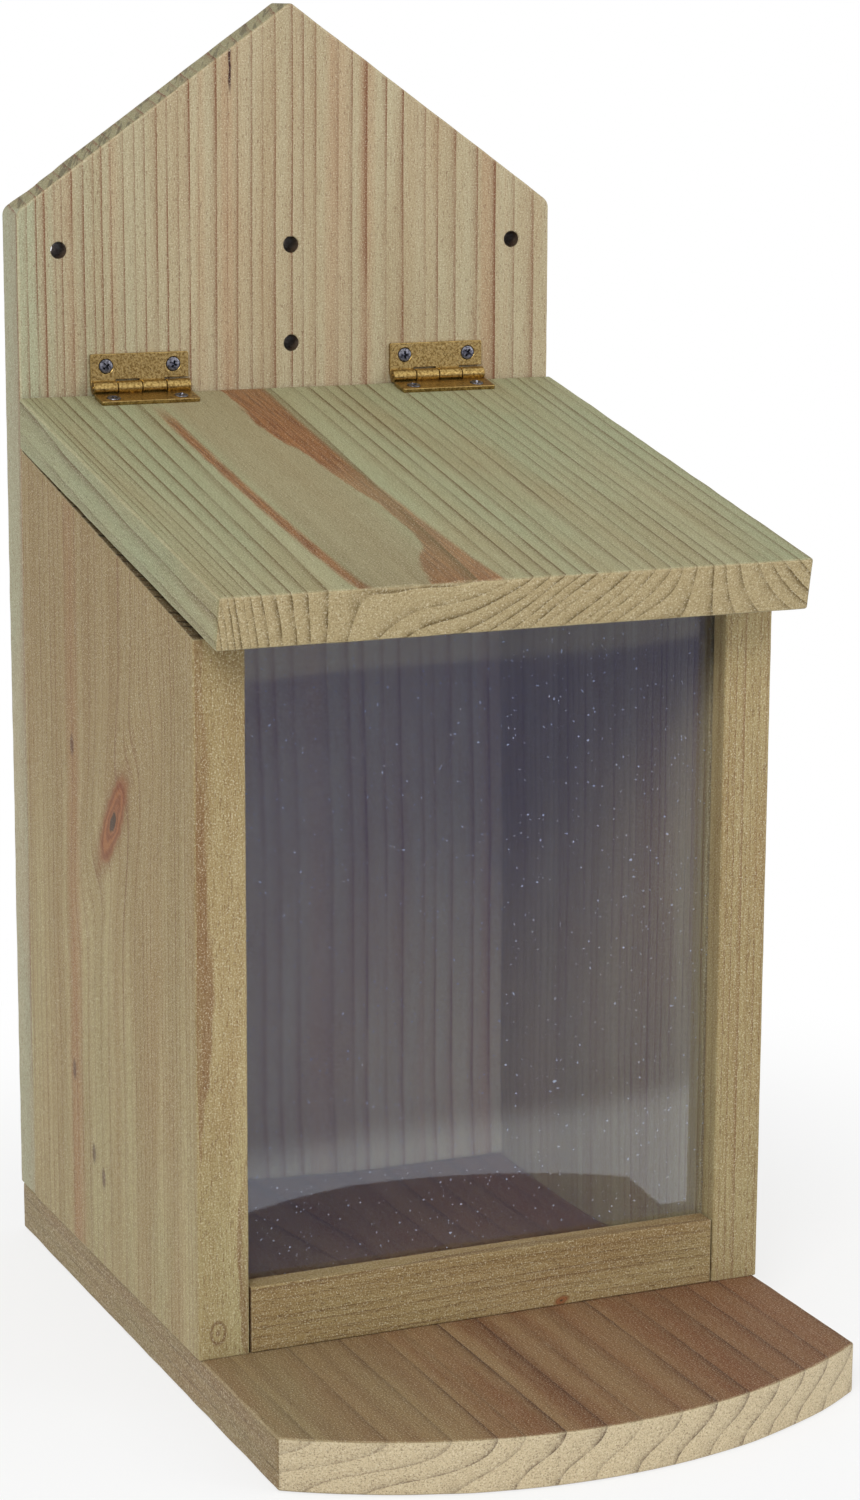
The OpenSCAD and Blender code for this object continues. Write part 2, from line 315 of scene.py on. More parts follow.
class Tree:
    """Short calls that build a material's nodes. A value is a number, a colour or a node's output."""

    def __init__(self, name):
        self.material = bpy.data.materials.new(name)
        self.material.use_nodes = True
        self.nodes = self.material.node_tree.nodes
        self.links = self.material.node_tree.links
        self.nodes.clear()

    def feed(self, socket, value):
        if isinstance(value, bpy.types.NodeSocket):
            self.links.new(value, socket)
        else:
            socket.default_value = value

    def node(self, kind, inputs, **settings):
        made = self.nodes.new("ShaderNode" + kind)
        for key, value in settings.items():
            setattr(made, key, value)
        for key, value in inputs.items():
            self.feed(made.inputs[key], value)
        return made

    def math(self, operation, *values, clamp=False):
        return self.node("Math", dict(enumerate(values)), operation=operation, use_clamp=clamp).outputs[0]

    def add(self, a, b):
        return self.math("ADD", a, b)

    def sub(self, a, b):
        return self.math("SUBTRACT", a, b)

    def mul(self, a, b):
        return self.math("MULTIPLY", a, b)

    def dot(self, vector, axis):
        return self.node("VectorMath", {0: vector, 1: axis}, operation="DOT_PRODUCT").outputs["Value"]

    def combine(self, x, y, z):
        return self.node("CombineXYZ", {0: x, 1: y, 2: z}).outputs[0]

    def noise(self, place, scale=1.0, detail=2.0, roughness=0.5):
        inputs = {"Vector": place, "Scale": scale, "Detail": detail, "Roughness": roughness}
        return self.node("TexNoise", inputs).outputs["Fac"]

    def step(self, value, low, high):
        """0 below low, 1 above high, smooth between. With low above high it falls instead."""
        inputs = {"Value": value, "From Min": low, "From Max": high}
        return self.node("MapRange", inputs, interpolation_type="SMOOTHSTEP").outputs[0]

    def curve(self, value, points):
        """A smooth curve through (value, result) points, flat past its ends."""
        x0, x1 = points[0][0], points[-1][0]
        y0, y1 = min(p[1] for p in points), max(p[1] for p in points)
        share = self.node("MapRange", {"Value": value, "From Min": x0, "From Max": x1}).outputs[0]
        made = self.node("FloatCurve", {"Value": share})
        spots = made.mapping.curves[0].points
        for number, (x, y) in enumerate(points):
            at = ((x - x0) / (x1 - x0), (y - y0) / (y1 - y0))
            if number < 2:
                spots[number].location = at
            else:
                spots.new(*at)
        made.mapping.update()
        return self.add(self.mul(made.outputs[0], y1 - y0), y0)

    def mix(self, share, a, b):
        return self.node("Mix", {0: share, 6: a, 7: b}, data_type="RGBA").outputs[2]

    def finish(self, shader):
        output = self.nodes.new("ShaderNodeOutputMaterial")
        self.links.new(shader, output.inputs["Surface"])
        return self.material


GREEN_TIMBER = {
    "pale": srgb(188, 174, 142), "deep": srgb(172, 148, 114), "green": srgb(166, 166, 136),
    "line": srgb(118, 74, 48), "end": srgb(148, 146, 108),
}
LID_TIMBER = {
    "pale": srgb(166, 158, 120), "deep": srgb(150, 132, 92), "green": srgb(150, 156, 120),
    "line": srgb(96, 78, 42), "end": srgb(178, 160, 120),
}
SIDE_TIMBER = {
    "pale": srgb(176, 157, 114), "deep": srgb(150, 124, 82), "green": srgb(158, 154, 110),
    "line": srgb(108, 66, 38), "end": srgb(108, 94, 64),
}
RAIL_TIMBER = {
    "pale": srgb(166, 140, 98), "deep": srgb(138, 106, 66), "green": srgb(146, 138, 92),
    "line": srgb(84, 48, 28), "end": srgb(120, 92, 58),
}
BASE_TIMBER = {
    "pale": srgb(146, 118, 80), "deep": srgb(124, 84, 52), "green": srgb(142, 124, 86),
    "line": srgb(64, 32, 18), "end": srgb(216, 200, 164),
}


def board_axes(t, origin, across, along):
    """A point's place across, through and along a board, in millimetres from origin."""
    spot = t.node("TexCoord", {}).outputs["Object"]
    spot = t.node("VectorMath", {0: spot, 1: origin}, operation="SUBTRACT").outputs[0]
    spot = t.node("VectorMath", {0: spot, "Scale": 1 / MM}, operation="SCALE").outputs[0]
    return t.dot(spot, across), t.dot(spot, across.cross(along)), t.dot(spot, along)


def bend_round_knots(t, a, d, g, knots):
    """Pushes the rings aside at each knot. Gives the new place across, and per knot how far out of
    it a point lies, where 1 is the knot's rim."""
    marks = []
    for knot_a, knot_g, half_wide, half_long, tilt in knots:
        dg = t.sub(g, knot_g)
        da = t.sub(t.sub(a, knot_a), t.mul(dg, tilt))
        lumpy = t.noise(t.combine(a, d, g), 0.25)
        wide = t.math("ABSOLUTE", t.mul(da, 1 / half_wide))
        tall = t.math("ABSOLUTE", t.mul(dg, 1 / half_long))
        far = t.math("SQRT", t.add(t.math("POWER", wide, 2.0), t.math("POWER", tall, 2.0)))
        marks.append(t.add(far, t.mul(t.sub(lumpy, 0.5), 0.5)))
        near = t.math("EXPONENT", t.mul(t.mul(far, far), -0.16))
        a = t.sub(a, t.mul(t.mul(da, near), 0.8))
    return a, marks


def ring_lines(t, a, d, g, field, line, thin, warp, uneven, band):
    """The late wood alone, and the share of line colour that the rings give in all."""
    bend = t.sub(t.noise(t.combine(t.mul(a, 0.02), t.mul(d, 0.03), t.mul(g, 0.005)), 1.0, 2.0), 0.5)
    small = t.sub(t.noise(t.combine(t.mul(a, 0.15), t.mul(d, 0.15), t.mul(g, 0.015)), 1.0, 1.0), 0.5)
    moved = t.add(a, t.add(t.mul(bend, 5 * warp), t.mul(small, 0.7 * warp)))
    r = field(t, moved, d, g)
    r = t.add(r, t.mul(t.sub(t.noise(t.combine(r, 3.7, 1.3), 0.6, 1.0), 0.5), uneven))
    phase = t.math("FRACT", r)
    late = t.mul(t.math("POWER", phase, thin), t.step(phase, 1.0, 0.97))
    halo = t.mul(t.math("POWER", phase, 2.5), t.step(phase, 1.0, 0.93))
    mood = t.node("TexWhiteNoise", {"W": t.math("FLOOR", r)}, noise_dimensions="1D").outputs["Value"]
    fade = t.noise(t.combine(t.mul(a, 0.3), t.mul(d, 0.3), t.mul(g, 0.02)), 1.0, 2.0)
    strength = t.mul(t.add(0.4, t.mul(mood, 0.6)), t.add(0.35, t.mul(t.step(fade, 0.3, 0.6), 0.65)))
    return late, t.mul(t.add(late, t.mul(halo, band)), t.mul(strength, line))


def paint_saw_marks(t, colour, a, d, g, on_end, saw):
    """Dark slanting stripes that a coarse saw leaves on end grain."""
    place = t.combine(t.mul(t.add(a, t.mul(d, 0.5)), 0.55), t.mul(d, 0.06), t.mul(g, 0.3))
    stripes = t.noise(place, 1.0, 2.0, 0.6)
    return t.mix(t.mul(t.mul(t.step(stripes, 0.5, 0.62), on_end), saw), colour, srgb(52, 40, 24))


def paint_knot(t, colour, mark):
    """A red-brown knot with its own rings, a darker rim and a nearly black eye."""
    rings = t.math("SINE", t.mul(mark, 18.0))
    wood = t.mix(t.step(rings, -1.0, 1.0), srgb(146, 92, 54), srgb(120, 66, 38))
    wood = t.mix(t.step(mark, 0.36, 0.16), wood, srgb(46, 24, 16))
    colour = t.mix(t.mul(t.step(mark, 1.15, 0.8), 0.85), colour, wood)
    rim = t.mul(t.step(mark, 1.6, 1.0), t.step(mark, 0.7, 1.0))
    return t.mix(t.mul(rim, 0.4), colour, srgb(112, 70, 40))


def timber(name, palette, origin, across, along, field, line=0.9, thin=12.0, green=None, knots=(),
           paint=None, warp=1.0, saw=0.0, uneven=1.3, band=0.25):
    """Sawn softwood. The rings are solid, so lines on a face run on into the end grain.

    across and along are the board's directions; lengths inside are in millimetres. field gives the
    ring number at a point, thin how narrow the late wood is, line how dark. green is a function that
    gives the share of green tint, and paint one that adds the board's own marks to the bare colour.
    A knot is (across, along, half width, half length, tilt). saw is how strong saw marks on the end
    grain are, uneven how irregular the rings' widths, and band how dark the wood between lines gets."""
    t = Tree(name)
    straight, d, g = board_axes(t, origin, across, along)
    a, knot_marks = bend_round_knots(t, straight, d, g, knots)
    late, ring_share = ring_lines(t, a, d, g, field, line, thin, warp, uneven, band)

    fibre = t.noise(t.combine(t.mul(a, 2.8), t.mul(d, 2.8), t.mul(g, 0.13)), 1.0, 5.0, 0.7)
    broad = t.noise(t.combine(t.mul(a, 0.11), t.mul(d, 0.11), t.mul(g, 0.008)), 1.0, 3.0, 0.6)
    speck = t.noise(t.combine(t.mul(a, 3.4), t.mul(d, 3.4), t.mul(g, 0.6)), 1.0, 1.0)
    patchy = t.noise(t.combine(t.mul(a, 0.05), t.mul(d, 0.05), t.mul(g, 0.012)), 1.0, 3.0)
    grit = t.noise(t.combine(a, d, g), 2.6, 2.0, 0.8)
    fuzz = t.noise(t.combine(a, d, g), 1.3, 3.0, 0.7)

    facing = t.dot(t.node("TexCoord", {}).outputs["Normal"], along)
    on_end = t.step(t.math("ABSOLUTE", facing), 0.6, 0.82)
    on_face = t.sub(1.0, on_end)

    colour = t.mix(t.step(broad, 0.3, 0.7), palette["pale"], palette["deep"])
    tint = green(t, straight, d, g) if green else 0.4
    tint = t.math("MULTIPLY", tint, t.add(0.45, t.mul(t.step(patchy, 0.3, 0.7), 0.75)), clamp=True)
    colour = t.mix(tint, colour, palette["green"])
    if paint:
        colour = paint(t, colour, straight, d, g, on_face)
    colour = t.mix(on_end, colour, t.mix(t.mul(fuzz, 0.35), palette["end"], palette["deep"]))
    colour = t.mix(t.math("MINIMUM", ring_share, 0.95), colour, palette["line"])
    dark_fibre = t.mul(t.step(fibre, 0.52, 0.72), t.add(0.08, t.mul(on_face, 0.36)))
    colour = t.mix(dark_fibre, colour, palette["line"])
    light_fibre = t.mul(t.mul(t.step(fibre, 0.46, 0.26), on_face), 0.26)
    colour = t.mix(light_fibre, colour, srgb(222, 212, 180))
    tick = t.mul(t.step(speck, 0.62, 0.72), 0.42)
    colour = t.mix(tick, colour, palette["line"])
    colour = t.mix(t.mul(t.step(grit, 0.53, 0.70), 0.55), colour, palette["line"])
    colour = t.mix(t.mul(t.step(grit, 0.47, 0.30), 0.5), colour, srgb(236, 226, 198))
    if saw:
        colour = paint_saw_marks(t, colour, a, d, g, on_end, saw)
    for mark in knot_marks:
        colour = paint_knot(t, colour, mark)
    worn = t.node("Attribute", {}, attribute_name="worn").outputs["Fac"]
    colour = t.mix(t.mul(worn, 0.22), colour, srgb(208, 192, 152))
    # Painted shade: the walls of drilled holes and the floors of screw pockets are darkened to a deep brown.
    bored = t.node("Attribute", {}, attribute_name="bored").outputs["Fac"]
    colour = t.mix(t.mul(t.step(bored, 0.1, 0.9), 0.85), colour, srgb(58, 32, 20))

    relief = t.add(t.mul(fibre, 0.16), t.mul(late, 0.06))
    relief = t.add(relief, t.mul(grit, 0.06))
    relief = t.add(relief, t.mul(t.mul(fuzz, on_end), 0.35))
    relief = t.sub(relief, t.mul(tick, 0.2))
    bump = t.node("Bump", {"Height": relief, "Distance": MM, "Strength": 0.9}).outputs[0]
    gloss = t.add(0.62, t.mul(fibre, 0.25))
    shader = t.node("BsdfPrincipled", {"Base Color": colour, "Roughness": gloss, "Normal": bump})
    shader.inputs["Specular IOR Level"].default_value = 0.25
    return t.finish(shader.outputs[0])


def clear_plastic():
    """Acrylic sheet with a faint haze and specks of dust; lamps shine through it."""
    t = Tree("clear_acrylic")
    spot = t.node("TexCoord", {}).outputs["Object"]
    speck = t.noise(spot, 1700.0, 0.0)
    smear = t.noise(spot, 30.0, 3.0)
    gloss = t.add(0.02, t.mul(smear, 0.05))
    inputs = {"Base Color": srgb(236, 240, 246), "Roughness": gloss, "IOR": 1.49}
    sheet = t.node("BsdfPrincipled", {**inputs, "Transmission Weight": 1.0}).outputs[0]
    haze = t.node("BsdfDiffuse", {"Color": srgb(196, 204, 222)}).outputs[0]
    share = t.math("ADD", t.mul(smear, 0.02), t.mul(t.step(speck, 0.80, 0.87), 0.6), clamp=True)
    dusty = t.node("MixShader", {0: share, 1: sheet, 2: haze}).outputs[0]
    shadow = t.node("LightPath", {}).outputs["Is Shadow Ray"]
    clear = t.node("BsdfTransparent", {"Color": srgb(238, 240, 244)}).outputs[0]
    return t.finish(t.node("MixShader", {0: shadow, 1: dusty, 2: clear}).outputs[0])


SCRATCH_SCALE = Vector((500, 3000, 4500))  # per metre along, across and into a scratch


def metal(name, bright, dull, spots, roughness, grime):
    """Plated metal with a cloudy patina, and fine dark scratches in two directions."""
    t = Tree(name)
    spot = t.node("TexCoord", {}).outputs["Object"]
    cloud = t.noise(spot, 1700.0, 4.0, 0.65)
    scratches = []
    for turn in (0.5, -0.9):
        place = t.node("VectorRotate", {"Vector": spot, "Angle": turn}, rotation_type="Y_AXIS").outputs[0]
        place = t.node("VectorMath", {0: place, 1: SCRATCH_SCALE}, operation="MULTIPLY").outputs[0]
        scratches.append(t.noise(place, 1.0, 3.0, 0.7))
    scratch = t.math("MAXIMUM", *scratches)
    colour = t.mix(t.step(cloud, 0.35, 0.65), bright, dull)
    colour = t.mix(t.mul(t.step(scratch, 0.56, 0.74), grime), colour, spots)
    worn = t.node("Attribute", {}, attribute_name="worn").outputs["Fac"]
    colour = t.mix(t.mul(worn, 0.6), colour, bright)
    gloss = t.add(roughness - 0.1, t.mul(cloud, 0.3))
    bump = t.node("Bump", {"Height": scratch, "Distance": 0.05 * MM, "Strength": 0.5}).outputs[0]
    shader = t.node("BsdfPrincipled", {"Base Color": colour, "Roughness": gloss, "Normal": bump})
    shader.inputs["Metallic"].default_value = 1.0
    return t.finish(shader.outputs[0])


# ---------------------------------------------------------------- timber of each board


def board_green(t, a, d, g):
    """Greener towards the board's left edge, and on the edge itself."""
    return t.add(0.25, t.mul(t.step(a, -25.0, -70.0), 0.75))


def board_field(t, a, d, g):
    """Upright rings: close on the left, wider to the right."""
    return t.add(t.curve(a, [(-72, 0), (-40, 13), (0, 26), (40, 35), (72, 41)]), t.mul(d, 0.06))


def board_marks(t, colour, a, d, g, grain):
    """A short resin split under the left slope of the gable, and pinkish bands."""
    band = t.noise(t.combine(t.mul(a, 0.16), 0.0, t.mul(g, 0.002)), 1.0, 2.0)
    colour = t.mix(t.mul(t.step(band, 0.5, 0.7), 0.3), colour, srgb(172, 124, 90))
    off = t.math("ABSOLUTE", t.sub(t.add(a, t.mul(t.noise(t.combine(a, d, g), 0.3), 0.8)), -15.4))
    split = t.mul(t.step(off, 0.5, 0.15), t.mul(t.step(g, 271.0, 276.0), t.step(d, -1.5, -0.5)))
    return t.mix(t.mul(split, grain), colour, srgb(50, 18, 10))


def lid_field(t, a, d, g):
    """Rings that lie nearly flat between the two heartwood streaks and steepen to both sides."""
    flat = t.curve(a, [(-72, 0), (-42, 10.9), (-28, 11.2), (-10, 11.5), (12, 16), (40, 24), (72, 33)])
    lean = t.curve(a, [(-72, -0.15), (-45, 0.0), (-10, 0.3), (15, 0.35), (40, 0.05), (72, -0.3)])
    return t.add(flat, t.add(t.mul(lean, d), t.mul(g, 0.004)))


def lid_green(t, a, d, g):
    """Green all over, and less between the two heartwood streaks."""
    return t.add(0.4, t.mul(t.step(t.math("ABSOLUTE", t.add(a, 26.0)), 2.0, 16.0), 0.3))


def lid_marks(t, colour, a, d, g, grain):
    """The thin streak behind the left hinge and the wide one that spreads towards the front."""
    ragged = t.noise(t.combine(t.mul(a, 0.8), t.mul(d, 0.8), t.mul(g, 0.1)), 1.0, 4.0, 0.75)
    ragged = t.mul(t.sub(ragged, 0.5), 4.0)
    grainy = t.noise(t.combine(t.mul(a, 1.6), d, t.mul(g, 0.06)), 1.0, 4.0, 0.7)
    wood = t.mix(t.step(grainy, 0.35, 0.65), srgb(150, 94, 48), srgb(106, 60, 30))
    plain = t.mul(t.step(a, -39.0, -35.0), t.step(a, -12.0, -18.0))
    colour = t.mix(t.mul(plain, 0.65), colour, srgb(152, 140, 106))
    middle = t.curve(g, [(0, -37.8), (40, -40), (80, -40), (110, -39.5), (142, -37)])
    off = t.math("ABSOLUTE", t.add(t.sub(a, middle), t.mul(ragged, 0.5)))
    thin = t.mul(t.step(off, 2.3, 0.6), t.step(g, 4.0, 30.0))
    left = t.curve(g, [(0, -20.5), (10, -19), (30, -20), (50, -17), (76, -15), (100, -13), (110, -13.5),
                       (125, -19), (142, -23)])
    right = t.curve(g, [(0, -7.5), (50, -8.5), (100, -7.5), (142, -4.5)])
    inside = t.mul(t.step(t.sub(t.add(a, ragged), left), -0.6, 0.8),
                   t.step(t.sub(right, t.add(a, t.mul(ragged, 0.4))), -0.6, 1.2))
    inside = t.mul(inside, t.curve(g, [(0, 0.85), (50, 0.95), (80, 0.7), (105, 0.7), (142, 1.0)]))
    share = t.mul(t.math("MAXIMUM", t.mul(thin, 0.9), inside), t.mul(grain, t.step(d, 8.0, 3.0)))
    return t.mix(t.mul(share, t.add(0.75, t.mul(grainy, 0.5))), colour, wood)


def side_green(t, a, d, g):
    """A little green, and more towards the bottom."""
    return t.add(0.2, t.mul(t.step(g, 130.0, 10.0), 0.2))


def side_field(t, a, d, g):
    """Close rings towards the front, wide ones at the knot."""
    return t.curve(a, [(-122, 0), (-95, 12), (-76, 19), (-60, 22), (-40, 26), (-20, 31), (2, 37)])


def side_marks(t, colour, a, d, g, grain):
    """A reddish band behind the knot, small dark flecks in it, a pin knot low on the front edge, and painted
    shade: darker brown towards the top, under the lid.
    """
    wander = t.mul(t.sub(t.noise(t.combine(0.0, 0.0, t.mul(g, 0.03)), 1.0, 1.0), 0.5), 5.0)
    off = t.math("ABSOLUTE", t.add(t.add(a, 36.0), wander))
    streaky = t.noise(t.combine(a, d, t.mul(g, 0.05)), 0.4)
    band = t.mul(t.step(off, 7.0, 1.0), t.add(0.35, t.mul(streaky, 0.5)))
    colour = t.mix(t.mul(band, 0.8), colour, srgb(150, 98, 62))
    # Painted shade: the panel's upper part, under the lid, is darkened towards a brown.
    colour = t.mix(t.mul(t.step(g, 60.0, 160.0), 0.45), colour, srgb(128, 104, 62))
    for fleck_a, fleck_g in ((-36, 123), (-34, 43), (-48, 26), (-55, 22)):
        da, dg = t.mul(t.add(a, -fleck_a), 0.9), t.mul(t.add(g, -fleck_g), 0.45)
        far = t.math("SQRT", t.add(t.mul(da, da), t.mul(dg, dg)))
        colour = t.mix(t.mul(t.step(far, 1.6, 0.6), 0.8), colour, srgb(72, 44, 28))
    dd, dg = t.mul(t.add(d, -4.5), 0.9), t.mul(t.add(g, -6.0), 0.6)
    far = t.math("SQRT", t.add(t.mul(dd, dd), t.mul(dg, dg)))
    pin_knot = t.math("MAXIMUM", t.step(far, 0.6, 0.3), t.mul(t.step(far, 1.1, 1.4), t.step(far, 2.0, 1.5)))
    on_front = t.step(a, -118.0, -119.5)
    return t.mix(t.mul(t.mul(pin_knot, on_front), 0.65), colour, srgb(96, 60, 34))


def right_field(t, a, d, g):
    """Rings across the thickness, so the narrow front edge shows close upright lines."""
    return t.add(t.mul(a, 0.28), t.mul(d, 0.52))


def base_field(t, a, d, g):
    """Wide rings that sweep to the left in slow waves as they go down."""
    drop = t.add(t.mul(d, -0.95), t.mul(t.math("SINE", t.mul(d, 0.52)), 1.1))
    drop = t.mul(drop, t.add(1.0, t.mul(t.step(a, -25.0, -60.0), 1.5)))
    lines = [(-72, -2.6), (-36, 0), (-26.5, 1), (-20.6, 2), (-11.8, 3), (-2.5, 4), (5.7, 5), (16, 6),
             (25.3, 7), (34.2, 8), (43.4, 9), (60, 11), (90, 14)]
    return t.curve(t.add(a, drop), lines)


def base_marks(t, colour, a, d, g, grain):
    """Redder towards the right, with broad dark bands, and painted shade inside the box: a darker brown on
    the floor between the sides.
    """
    red = t.mul(t.step(a, -20.0, 60.0), 0.65)
    colour = t.mix(t.mul(red, grain), colour, srgb(118, 74, 44))
    band = t.noise(t.combine(t.mul(a, 0.13), 0.0, t.mul(g, 0.006)), 1.0, 3.0)
    colour = t.mix(t.mul(t.mul(t.step(band, 0.48, 0.68), 0.35), grain), colour, srgb(96, 62, 36))
    # Painted shade: the floor inside the box, between the side panels, is darkened towards a deep brown.
    inside = t.mul(t.step(t.math("ABSOLUTE", a), 59.0, 57.0), t.step(d, -2.0, -0.5))
    inside = t.mul(inside, t.step(g, -116.0, -112.0))
    return t.mix(t.mul(inside, 0.45), colour, srgb(84, 48, 26))


def make_timbers():
    """One timber for each board, by its short name."""
    x, y, z = Vector((1, 0, 0)), Vector((0, 1, 0)), Vector((0, 0, 1))
    floor = Vector((0, board_face, floor_z))
    return {
        "back": timber("timber_back", GREEN_TIMBER, Vector((0, board_face, 12 * MM)), x, z, board_field,
                       1.45, 8.0, board_green, paint=board_marks, warp=0.35, saw=0.5, band=0.3),
        "left": timber("timber_left", SIDE_TIMBER, floor + Vector((-half_w, 0, 0)), y, z, side_field,
                       0.85, 8.0, side_green, knots=[(-65.7, 111, 6.0, 12.0, -0.7)], paint=side_marks,
                       warp=0.7, saw=0.9, uneven=0.7, band=0.35),
        "right": timber("timber_right", SIDE_TIMBER, floor + Vector((half_w, 0, 0)), y, z, right_field,
                        0.8, 6.0, side_green, warp=0.8, saw=0.9),
        "base": timber("timber_base", BASE_TIMBER, floor, x, y, base_field, 1.3, 17.0,
                       lambda t, a, d, g: t.step(a, -10.0, -70.0), paint=base_marks, warp=0.3,
                       uneven=0.1, band=0.3),
        "rail": timber("timber_rail", RAIL_TIMBER, floor + Vector((0, rail_low.y - board_face, 0)), z, x,
                       lambda t, a, d, g: t.add(t.mul(a, 0.45), t.mul(d, 0.2)), 0.6, 6.0,
                       knots=[(1.2, 18.8, 0.9, 1.6, 0.2)], warp=2.0),
        "lid": timber("timber_lid", LID_TIMBER, lid_back_top, x, lid_down, lid_field, 1.25, 6.0,
                      lid_green, paint=lid_marks, warp=0.6, uneven=0.9, band=0.4),
    }


# ---------------------------------------------------------------- boards


def settle(piece, body, slot, material, *nodes):
    """Gives a piece its material, hangs it on its body's empty, and hides the CAD nodes it stands for."""
    piece.data.materials.append(material)
    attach(piece, body)
    if nodes:
        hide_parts(*nodes)
    return piece


def sunk_heads(prefix, axes):
    """Centre and radius of the screws or nails whose CAD nodes start with prefix, seen in two axes."""
    spots = []
    for name in sorted(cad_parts):
        if name.startswith(prefix):
            low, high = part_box(name)
            centre = (low + high) / 2
            wide = min(high[k] - low[k] for k in axes)
            spots.append((centre, wide / 2))
    return spots


FIXING_RADIUS = 2 * MM
FIXING_DROP = 9.4 * MM  # below the board's shoulders
FIXING_INSET = 10.4 * MM
FIXING_SPACING = 24.1 * MM  # between the two on the centre line
POCKET_GAP = 0.05 * MM
POCKET_DEPTH = 0.5 * MM
PANE_GAP = 0.2 * MM
LIP_REACH = 46.3 * MM  # from the rail to the corners where the lip's curve starts
LIP_STEPS = 32


def pockets(heads, axes):
    """Holes just wider than the sunk heads, in the low face of a board drawn in two axes."""
    return [(c[axes[0]], c[axes[1]], r + POCKET_GAP, "low", POCKET_DEPTH) for c, r in heads]


def make_back_board(timbers):
    """The gable-topped back, with its fixing holes and the pockets of its screws."""
    holes = [(side * (half_w - FIXING_INSET), shoulder_z - FIXING_DROP, FIXING_RADIUS, "through", 0)
             for side in (-1, 1)]
    holes += [(0, shoulder_z - FIXING_DROP - k * FIXING_SPACING, FIXING_RADIUS, "through", 0) for k in (0, 1)]
    holes += pockets(sunk_heads("back_screw", (0, 2)), (0, 2))
    points = [(-half_w, floor_z), (half_w, floor_z), (half_w, shoulder_z, 3 * MM),
              (0, back_high.z, 1.6 * MM), (-half_w, shoulder_z, 3 * MM)]
    front = back_high.y - board_face
    chips = [(-half_w + 7 * MM, shoulder_z + 5 * MM, 0, 4 * MM, 1.1 * MM),
             (-half_w + 12 * MM, shoulder_z + 9 * MM, 0, 2.5 * MM, 0.9 * MM),
             (half_w - 3 * MM, shoulder_z + 1 * MM, front, 4 * MM, 0.6 * MM)]
    board = slab("back_board_timber", points, front, lambda u, v, w: (u, back_high.y - w, v),
                 holes=holes, chips=chips, wave=0.18 * MM, seed=1)
    settle(board, "box", "pine_green", timbers["back"], "back_board")


def make_side(name, low, high, groove_x, timber_made, seed):
    """A side panel: its section across the grain, groove and all, raised to the sloping top."""
    front, back = pane_low.y - PANE_GAP, pane_high.y + PANE_GAP
    tiny = 0.15 * MM
    if groove_x > 0:
        points = [(low.x, low.y), (high.x, low.y), (high.x, high.y), (low.x, high.y),
                  (low.x, back, tiny), (groove_x, back, tiny), (groove_x, front, tiny), (low.x, front, tiny)]
    else:
        points = [(low.x, low.y), (high.x, low.y), (high.x, front, tiny), (groove_x, front, tiny),
                  (groove_x, back, tiny), (high.x, back, tiny), (high.x, high.y), (low.x, high.y)]
    front_h = side_front_z - floor_z
    rise = (high.z - side_front_z) / (high.y - low.y)

    def place(u, v, w):
        return (u, v, floor_z + w * (front_h + (v - low.y) * rise) / front_h)

    chips = [(low.x, low.y, front_h * 0.31, 3 * MM, 0.3 * MM)]
    panel = slab(name + "_timber", points, front_h, place, arris=0.35 * MM, corner=0.7 * MM,
                 wave=0.12 * MM, level_step=4 * MM, chips=chips, seed=seed)
    settle(panel, "box", "pine_tan", timber_made, name)


def make_base(timbers):
    """The floor, whose lip runs out in an arc in front of the rail."""
    half = base_high.x
    corner_y = rail_low.y - LIP_REACH
    bulge = corner_y - base_low.y
    radius = (half * half + bulge * bulge) / (2 * bulge)
    reach = math.asin(half / radius)
    centre_y = base_low.y + radius
    arc = []
    for k in range(1, LIP_STEPS):
        turn = reach * (2 * k / LIP_STEPS - 1)
        arc.append((radius * math.sin(turn), centre_y - radius * math.cos(turn)))
    points = [(-half, corner_y)] + arc + [(half, corner_y), (half, base_high.y), (-half, base_high.y)]
    heads = [s for p in ("base_screw", "board_foot_screw", "rail_nail") for s in sunk_heads(p, (0, 1))]
    holes = pockets(heads, (0, 1))
    chips = [(-16 * MM, base_low.y, base_high.z, 2 * MM, 0.5 * MM)]
    board = slab("base_board_timber", points, base_high.z, lambda u, v, w: (u, v, w), holes=holes,
                 chips=chips, wave=0.12 * MM, seed=5)
    settle(board, "box", "pine_brown", timbers["base"], "base_board")


def make_rail(timbers):
    """The low rail that the pane stands behind."""
    points = [(rail_low.y, rail_low.z), (rail_high.y, rail_low.z), (rail_high.y, rail_high.z),
              (rail_low.y, rail_high.z)]
    rail = slab("front_rail_timber", points, rail_high.x - rail_low.x,
                lambda u, v, w: (rail_low.x + w, u, v), arris=0.3 * MM, corner=0.5 * MM, wave=0.12 * MM,
                seed=6)
    settle(rail, "box", "pine_tan", timbers["rail"], "front_rail")


def make_lid(timbers):
    """The lid lies along the slope, and its front and rear edges are cut upright."""
    half = lid_high.x
    lean = math.tan(lid_slope)

    def place(u, v, w):
        shear = (w - lid_thickness) * lean * (1 - v / lid_length)
        return Vector((u, 0, 0)) + lid_back_top + lid_down * (v - shear) + lid_normal * (w - lid_thickness)

    points = [(-half, 0), (half, 0), (half, lid_length), (-half, lid_length)]
    top = lid_thickness
    chips = [(-28 * MM, lid_length, top, 3 * MM, 0.5 * MM), (-14 * MM, lid_length, top, 4 * MM, 0.8 * MM),
             (-6 * MM, lid_length, top, 3 * MM, 0.7 * MM), (half, lid_length, top / 2, 3 * MM, 0.4 * MM)]
    lid = slab("lid_timber", points, lid_thickness, place, chips=chips, wave=0.15 * MM, seed=7)
    settle(lid, "lid", "pine_green", timbers["lid"], "lid")


